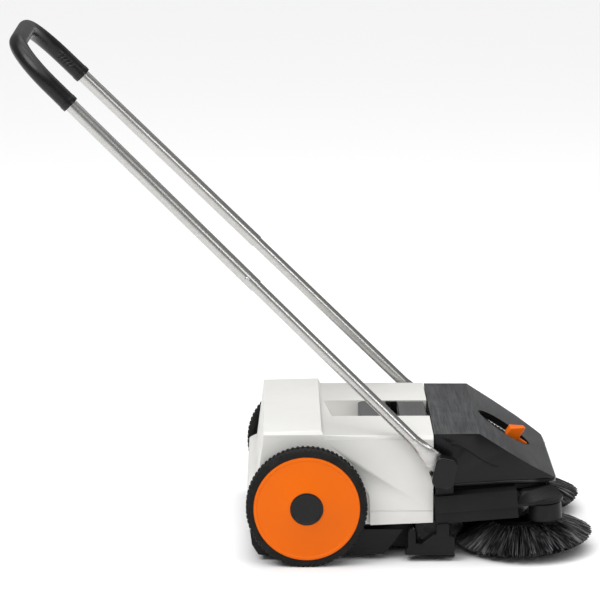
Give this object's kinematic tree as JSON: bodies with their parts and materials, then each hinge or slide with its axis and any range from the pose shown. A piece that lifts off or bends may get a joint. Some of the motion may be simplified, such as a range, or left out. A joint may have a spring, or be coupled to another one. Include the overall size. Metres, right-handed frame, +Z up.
{
  "type": "walk-behind sweeper",
  "caption": "Manual walk-behind sweeper with disc brushes, belt drive from the wheels, lift-off dirt container and a folding push handle.",
  "frame": {"origin": "on the floor, under the middle of the whole machine's box", "axes": "+X forward towards the brushes, +Y to the machine's left, +Z up"},
  "size_m": [1.134, 0.5484, 1.0173],
  "materials": {
    "shell_plastic": "fine satin texture",
    "black_plastic": "fine satin texture",
    "hood_plastic": "brushed satin top, glossy sides",
    "dish_plastic": "matte",
    "grey_plastic": "satin",
    "orange_plastic": "satin gloss",
    "cap_plastic": "satin gloss",
    "tyre_rubber": "matte",
    "roller_rubber": "matte",
    "grip_rubber": "satin",
    "tube_aluminium": "satin anodised",
    "steel": "bright zinc",
    "gear_plastic": "satin",
    "belt_rubber": "matte",
    "bush_brass": "machined",
    "brush_plastic": "satin",
    "bristle_fibre": "fibrous"
  },
  "bodies": {
    "frame": {"chassis": "black_plastic", "hood": "hood_plastic", "adjuster_dish": "dish_plastic", "drive_cover_left": "black_plastic", "drive_cover_right": "black_plastic", "drive_belt_left": "belt_rubber", "drive_belt_right": "belt_rubber", "belt_guides": "black_plastic", "axle_bushes": "bush_brass", "brush_bushes": "bush_brass", "guide_roller_pins": "steel", "bin_cradle_left": "black_plastic", "bin_cradle_right": "black_plastic", "dirt_ramp": "roller_rubber", "pivot_bracket_left": "black_plastic", "pivot_bracket_right": "black_plastic", "pivot_studs": "steel", "cover_screws": "steel"},
    "handle": {"handle_tube_lower_left": "tube_aluminium", "handle_tube_lower_right": "tube_aluminium", "handle_tube_upper_left": "tube_aluminium", "handle_tube_upper_right": "tube_aluminium", "handle_grip": "grip_rubber", "pivot_cap_left": "cap_plastic", "pivot_cap_right": "cap_plastic"},
    "bin": {"bin_shell": "shell_plastic", "bin_tray": "black_plastic", "bin_lugs": "black_plastic", "carry_grip": "grey_plastic"},
    "latch": {"bin_latch": "grey_plastic"},
    "knob": {"height_knob": "orange_plastic"},
    "caster": {"caster_fork": "black_plastic", "caster_pin": "steel"},
    "caster_wheel": {"caster_roller": "roller_rubber"},
    "wheel_left": {"tyre_left": "tyre_rubber", "wheel_hub_left": "black_plastic", "wheel_disc_left": "orange_plastic", "hub_cap_left": "cap_plastic", "axle_shaft_left": "steel", "crown_gear_left": "gear_plastic"},
    "pinion_left": {"drive_pinion_left": "gear_plastic"},
    "brush_left": {"brush_plate_left": "brush_plastic", "brush_shaft_left": "steel", "brush_pulley_left": "gear_plastic", "brush_bristles_left": "bristle_fibre"},
    "guide_roller_left": {"guide_roller_left": "roller_rubber"},
    "button_left": {"snap_button_left": "steel"},
    "wheel_right": {"tyre_right": "tyre_rubber", "wheel_hub_right": "black_plastic", "wheel_disc_right": "orange_plastic", "hub_cap_right": "cap_plastic", "axle_shaft_right": "steel", "crown_gear_right": "gear_plastic"},
    "pinion_right": {"drive_pinion_right": "gear_plastic"},
    "brush_right": {"brush_plate_right": "brush_plastic", "brush_shaft_right": "steel", "brush_pulley_right": "gear_plastic", "brush_bristles_right": "bristle_fibre"},
    "guide_roller_right": {"guide_roller_right": "roller_rubber"},
    "button_right": {"snap_button_right": "steel"}
  },
  "joints": [
    {"name": "wheel_left_spin", "type": "hinge", "parent": "frame", "child": "wheel_left", "pos_m": [0.00096, 0.25, 0.1175], "axis": [0, 1, 0], "continuous": true},
    {"name": "pinion_left_spin", "type": "hinge", "parent": "frame", "child": "pinion_left", "pos_m": [0.00096, 0.195, 0.1175], "axis": [-0.0785, 0, 0.9969], "continuous": true},
    {"name": "brush_left_spin", "type": "hinge", "parent": "frame", "child": "brush_left", "pos_m": [0.42166, 0.136, 0.15061], "axis": [-0.0785, 0, 0.9969], "continuous": true},
    {"name": "guide_roller_left_spin", "type": "hinge", "parent": "frame", "child": "guide_roller_left", "pos_m": [0.46254, 0.195, 0.15383], "axis": [-0.0785, 0, 0.9969], "continuous": true},
    {"name": "snap_button_left_press", "type": "slide", "parent": "handle", "child": "button_left", "axis": [0, -1, 0], "range_m": [0, 0.0035], "stiffness_N_per_m": 300, "springref_m": -0.003},
    {"name": "wheel_right_spin", "type": "hinge", "parent": "frame", "child": "wheel_right", "pos_m": [0.00096, -0.25, 0.1175], "axis": [0, 1, 0], "continuous": true},
    {"name": "pinion_right_spin", "type": "hinge", "parent": "frame", "child": "pinion_right", "pos_m": [0.00096, -0.195, 0.1175], "axis": [-0.0785, 0, 0.9969], "continuous": true},
    {"name": "brush_right_spin", "type": "hinge", "parent": "frame", "child": "brush_right", "pos_m": [0.42166, -0.136, 0.15061], "axis": [-0.0785, 0, 0.9969], "continuous": true},
    {"name": "guide_roller_right_spin", "type": "hinge", "parent": "frame", "child": "guide_roller_right", "pos_m": [0.46254, -0.195, 0.15383], "axis": [-0.0785, 0, 0.9969], "continuous": true},
    {"name": "snap_button_right_press", "type": "slide", "parent": "handle", "child": "button_right", "axis": [0, 1, 0], "range_m": [0, 0.0035], "stiffness_N_per_m": 300, "springref_m": -0.003},
    {"name": "handle_fold", "type": "hinge", "parent": "frame", "child": "handle", "pos_m": [0.26696, 0, 0.185], "axis": [0, 1, 0], "range_deg": [0, 130]},
    {"name": "bin_lift", "type": "slide", "parent": "frame", "child": "bin", "axis": [0, 0, 1], "range_m": [0, 0.09]},
    {"name": "latch_slide", "type": "slide", "parent": "bin", "child": "latch", "axis": [1, 0, 0], "range_m": [0, 0.006]},
    {"name": "height_knob_slide", "type": "slide", "parent": "frame", "child": "knob", "axis": [-0.8396, 0, 0.5433], "range_m": [0, 0.04]},
    {"name": "caster_height", "type": "slide", "parent": "frame", "child": "caster", "axis": [-0.0785, 0, 0.9969], "range_m": [0, 0.008]},
    {"name": "caster_roll", "type": "hinge", "parent": "caster", "child": "caster_wheel", "pos_m": [0.33596, 0, 0.02], "axis": [0, 1, 0], "continuous": true}
  ],
  "couplings": [
    {"joint": "pinion_left_spin", "follows": "wheel_left_spin", "ratio": -3.1667},
    {"joint": "brush_left_spin", "follows": "wheel_left_spin", "ratio": -1.2667},
    {"joint": "pinion_right_spin", "follows": "wheel_right_spin", "ratio": 3.1667},
    {"joint": "brush_right_spin", "follows": "wheel_right_spin", "ratio": 1.2667},
    {"joint": "caster_height", "follows": "height_knob_slide", "ratio": 0.2}
  ]
}
